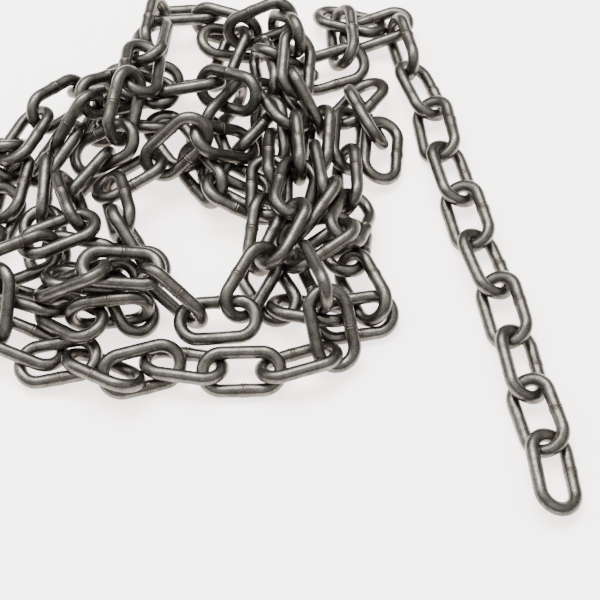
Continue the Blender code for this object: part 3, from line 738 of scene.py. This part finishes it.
def makeLinkMesh(number, steel):
    # A closed ring of round wire, upset and trimmed at its butt joint
    draw = random.Random(number)
    weldAt = halfLeg + draw.uniform(-wire["drift"], wire["drift"])
    marks = stations(weldAt)
    spots, outs = wireLine(marks)
    if number not in weldOnLeft:
        spots, outs = spots * (1, -1), outs * (1, -1)
    total = 2 * math.pi * crownRadius + 4 * halfLeg
    around = np.arange(wire["sides"]) * 2 * math.pi / wire["sides"]
    fromWeld = (marks - math.pi * crownRadius - weldAt)[:, None]
    skew = draw.uniform(-0.12, 0.12)
    lean = fromWeld + skew * np.cos(around - draw.uniform(0, 6.28))[None]
    radius = np.full((len(marks), wire["sides"]), wireRadius)
    radius += wire["swell"] * draw.uniform(0.5, 1.2) * hump(lean, wire["swellLength"])
    for side in (-1, 1):
        ragged = 0.6 + 0.4 * np.sin(3 * around + draw.uniform(0, 6.28))[None]
        fin = hump(lean - side * wire["finOffset"], wire["finWidth"])
        radius += wire["fin"] * draw.uniform(0.3, 1.1) * ragged * fin
    radius -= wire["pinch"] * hump(lean, wire["pinchWidth"])
    for wave in (2, 3, 5, 7):
        phase = 2 * math.pi * marks / total * wave + draw.uniform(0, 6.28)
        squash = np.cos(around * 2 + draw.uniform(0, 6.28))
        radius += wire["uneven"] / wave * np.sin(phase)[:, None] * squash
    flat = np.cos(around)[None] * radius
    high = np.sin(around)[None] * radius
    x = spots[:, :1] + outs[:, :1] * flat
    y = spots[:, 1:] + outs[:, 1:] * flat
    points = np.stack([x, y, high], axis=-1).reshape(-1, 3) * mm
    rings, sides = len(marks), wire["sides"]
    faces = []
    for a in range(rings):
        b = (a + 1) % rings
        for c in range(sides):
            d = (c + 1) % sides
            face = (a * sides + c, b * sides + c, b * sides + d, a * sides + d)
            faces.append(face if number in weldOnLeft else face[::-1])
    mesh = bpy.data.meshes.new(f"chainLink{number:03d}")
    mesh.from_pydata([tuple(p) for p in points], [], faces)
    heat = hump(lean, 1.5 * wire["swellLength"]) * 0.45
    bearing = np.broadcast_to(np.maximum(np.abs(spots[:, :1]) - reach + 2.0, 0) / 2.0 * 0.5
                              * np.maximum(-np.cos(around), 0)[None], radius.shape)
    for name, values in (("weld", heat), ("rub", bearing)):
        layer = mesh.attributes.new(name, "FLOAT", "POINT")
        layer.data.foreach_set("value", values.astype(np.float32).ravel())
    mesh.materials.append(steel)
    mesh.shade_smooth()
    mesh.validate()
    return mesh


def poseOf(heap, k, foot):
    u = Vector(heap.axis[k])
    s = Vector(heap.side[k])
    pose = Matrix((u, s, u.cross(s))).transposed().to_4x4()
    pose.translation = (Vector(heap.centre[k]) - foot) * mm
    return pose


def findFoot(heap):
    # Where the part has its origin: the middle of the box of the six-sided wires
    outline = heap.outline
    after = np.roll(outline, -1, axis=0) - outline
    before = outline - np.roll(outline, 1, axis=0)
    along = after / np.hypot(*after.T)[:, None] + before / np.hypot(*before.T)[:, None]
    along /= np.hypot(*along.T)[:, None]
    out = np.stack([along[:, 1], -along[:, 0]], axis=1)
    up = np.cross(heap.axis, heap.side)
    low, high = np.full(3, 1e9), np.full(3, -1e9)
    for turn in np.radians(np.arange(0, 360, 60)):
        flat = outline + wireRadius * math.cos(turn) * out
        spots = (heap.centre[:, None] + flat[None, :, :1] * heap.axis[:, None]
                 + flat[None, :, 1:] * heap.side[:, None] + wireRadius * math.sin(turn) * up[:, None])
        low = np.minimum(low, spots.min(axis=(0, 1)))
        high = np.maximum(high, spots.max(axis=(0, 1)))
    size = (high - low) * mm
    part = [round(v, 6) for v in cadHigh - cadLow]
    print("box of the six-sided wires", np.round(size, 6), "part", part)
    return Vector(((low[0] + high[0]) / 2, (low[1] + high[1]) / 2, low[2]))


def keepOnFloor(mesh):
    # A link that lies on the floor is worn flat there
    for vertex in mesh.vertices:
        vertex.co.z = max(vertex.co.z, 0.0)


def placeLinks(heap, foot, steel):
    for k in range(heap.count):
        number = k + 1
        mesh = makeLinkMesh(number, steel)
        mesh.transform(poseOf(heap, k, foot))
        keepOnFloor(mesh)
        item = bpy.data.objects.new(f"chain_link_{number:03d}", mesh)
        bpy.context.scene.collection.objects.link(item)
        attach(item, "root")
        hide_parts(f"link_pair_{k // 2 + 1:02d}")


def makeFloor():
    # Pale seamless paper under the heap
    paper, tree, shader = newMaterial("seamlessPaper")
    place = addNode(tree, "ShaderNodeTexCoord")
    fibre = addNode(tree, "ShaderNodeTexNoise", values={"Scale": 900.0, "Detail": 2.0},
                    links={"Vector": place.outputs["Object"]})
    bump = addNode(tree, "ShaderNodeBump", values={"Distance": 0.00002, "Strength": 0.4},
                   links={"Height": fibre.outputs["Fac"]})
    tree.links.new(bump.outputs["Normal"], shader.inputs["Normal"])
    shader.inputs["Base Color"].default_value = (*hexToLinear(studio["floorHex"]), 1)
    shader.inputs["Roughness"].default_value = 0.9
    shader.inputs["Emission Color"].default_value = (*hexToLinear(studio["glowHex"]), 1)
    shader.inputs["Emission Strength"].default_value = studio["floorGlow"]
    bpy.ops.mesh.primitive_plane_add(size=studio["floorWidth"], location=(0, 0, 0))
    floor = bpy.context.object
    floor.name = "paperFloor"
    floor.data.materials.append(paper)


def addLamp(name, spot, size, power):
    data = bpy.data.lights.new(name, "AREA")
    data.shape = "RECTANGLE"
    data.size, data.size_y = size
    data.energy = power
    lamp = bpy.data.objects.new(name, data)
    bpy.context.scene.collection.objects.link(lamp)
    lamp.location = spot
    lamp.rotation_euler = (Vector((0, 0, 0)) - Vector(spot)).to_track_quat("-Z", "Y").to_euler()


def makeStudio(foot):
    scene = bpy.context.scene
    data = bpy.data.cameras.new("camera")
    data.sensor_width = 36.0
    data.lens = data.sensor_width * studio["focalPixels"] / studio["imagePixels"]
    data.clip_start, data.clip_end = 0.01, 20.0
    camera = bpy.data.objects.new("camera", data)
    scene.collection.objects.link(camera)
    camera.location = (Vector(lay["eye"]) - foot) * mm
    camera.rotation_euler = (math.radians(90.0 - studio["downAngle"]), 0.0, 0.0)
    scene.camera = camera

    # White overhead and greyer towards the walls, so that wires have dark flanks
    world = bpy.data.worlds.new("softWhiteRoom")
    world.use_nodes = True
    tree = world.node_tree
    sky = tree.nodes["Background"]
    place = addNode(tree, "ShaderNodeTexCoord")
    parts = addNode(tree, "ShaderNodeSeparateXYZ", links={"Vector": place.outputs["Generated"]})
    ramp = addNode(tree, "ShaderNodeValToRGB", links={"Fac": parts.outputs["Z"]})
    stops = ramp.color_ramp.elements
    stops[0].position, stops[0].color = studio["wallLevel"], (*hexToLinear(studio["wallHex"]), 1)
    stops[1].position, stops[1].color = studio["ceilingLevel"], (*hexToLinear(studio["ceilingHex"]), 1)
    tree.links.new(ramp.outputs["Color"], sky.inputs["Color"])
    sky.inputs["Strength"].default_value = studio["skyStrength"]
    scene.world = world
    for name, box in softboxes.items():
        addLamp(name, box["spot"], box["size"], box["watts"])


steel = makeDrawnSteel()
heap = layHeap(layRows, leaningLinks)
print("chain laid,", heap.count, "links")
foot = findFoot(heap)
placeLinks(heap, foot, steel)
print("links made")
makeFloor()
makeStudio(foot)
print("studio made")
